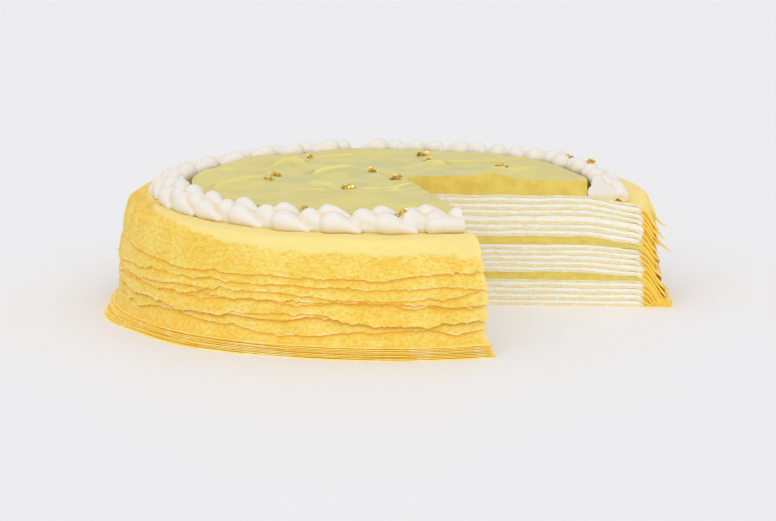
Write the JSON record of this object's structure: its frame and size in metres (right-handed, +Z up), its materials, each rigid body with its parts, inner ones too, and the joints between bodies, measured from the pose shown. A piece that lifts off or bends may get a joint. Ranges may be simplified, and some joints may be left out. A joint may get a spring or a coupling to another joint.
{
  "type": "crepe cake",
  "caption": "Round layered crepe cake with one slice cut out, cream and custard between thin crepes, a smooth custard top and a piped cream border.",
  "frame": {"origin": "middle of the flat underside, on the axis of the round cake, measured as the centre of the bounding box's bottom", "axes": "+Z up through the layers; one cut face of the missing slice lies along +X and faces -Y, and the missing slice opens towards +X -Y"},
  "size_m": [0.2415, 0.2369, 0.0591],
  "materials": {
    "crepe": "soft matt cooked batter, golden yellow with pale and brown patches",
    "cream": "matt whipped pastry cream, off-white, slightly porous where cut",
    "custard": "satin yellow custard, smooth where cut",
    "custard_glaze": "satin green-yellow custard spread with a palette knife, with gold leaf",
    "piped_cream": "smooth satin piped cream, white, with gold leaf"
  },
  "bodies": {
    "root": {"crepe_01": "crepe", "crepe_02": "crepe", "crepe_03": "crepe", "crepe_04": "crepe", "crepe_05": "crepe", "crepe_06": "crepe", "crepe_07": "crepe", "crepe_08": "crepe", "crepe_09": "crepe", "crepe_10": "crepe", "crepe_11": "crepe", "crepe_12": "crepe", "crepe_13": "crepe", "crepe_14": "crepe", "crepe_15": "crepe", "crepe_16": "crepe", "crepe_17": "crepe", "cream_01": "cream", "cream_02": "cream", "cream_03": "cream", "cream_04": "cream", "cream_05": "cream", "cream_06": "cream", "cream_07": "cream", "cream_08": "cream", "cream_09": "cream", "cream_10": "cream", "cream_11": "cream", "cream_12": "cream", "cream_13": "cream", "cream_14": "cream", "cream_15": "cream", "custard_band_01": "custard", "custard_band_02": "custard", "custard_top": "custard_glaze", "piped_border": "piped_cream"}
  },
  "joints": []
}
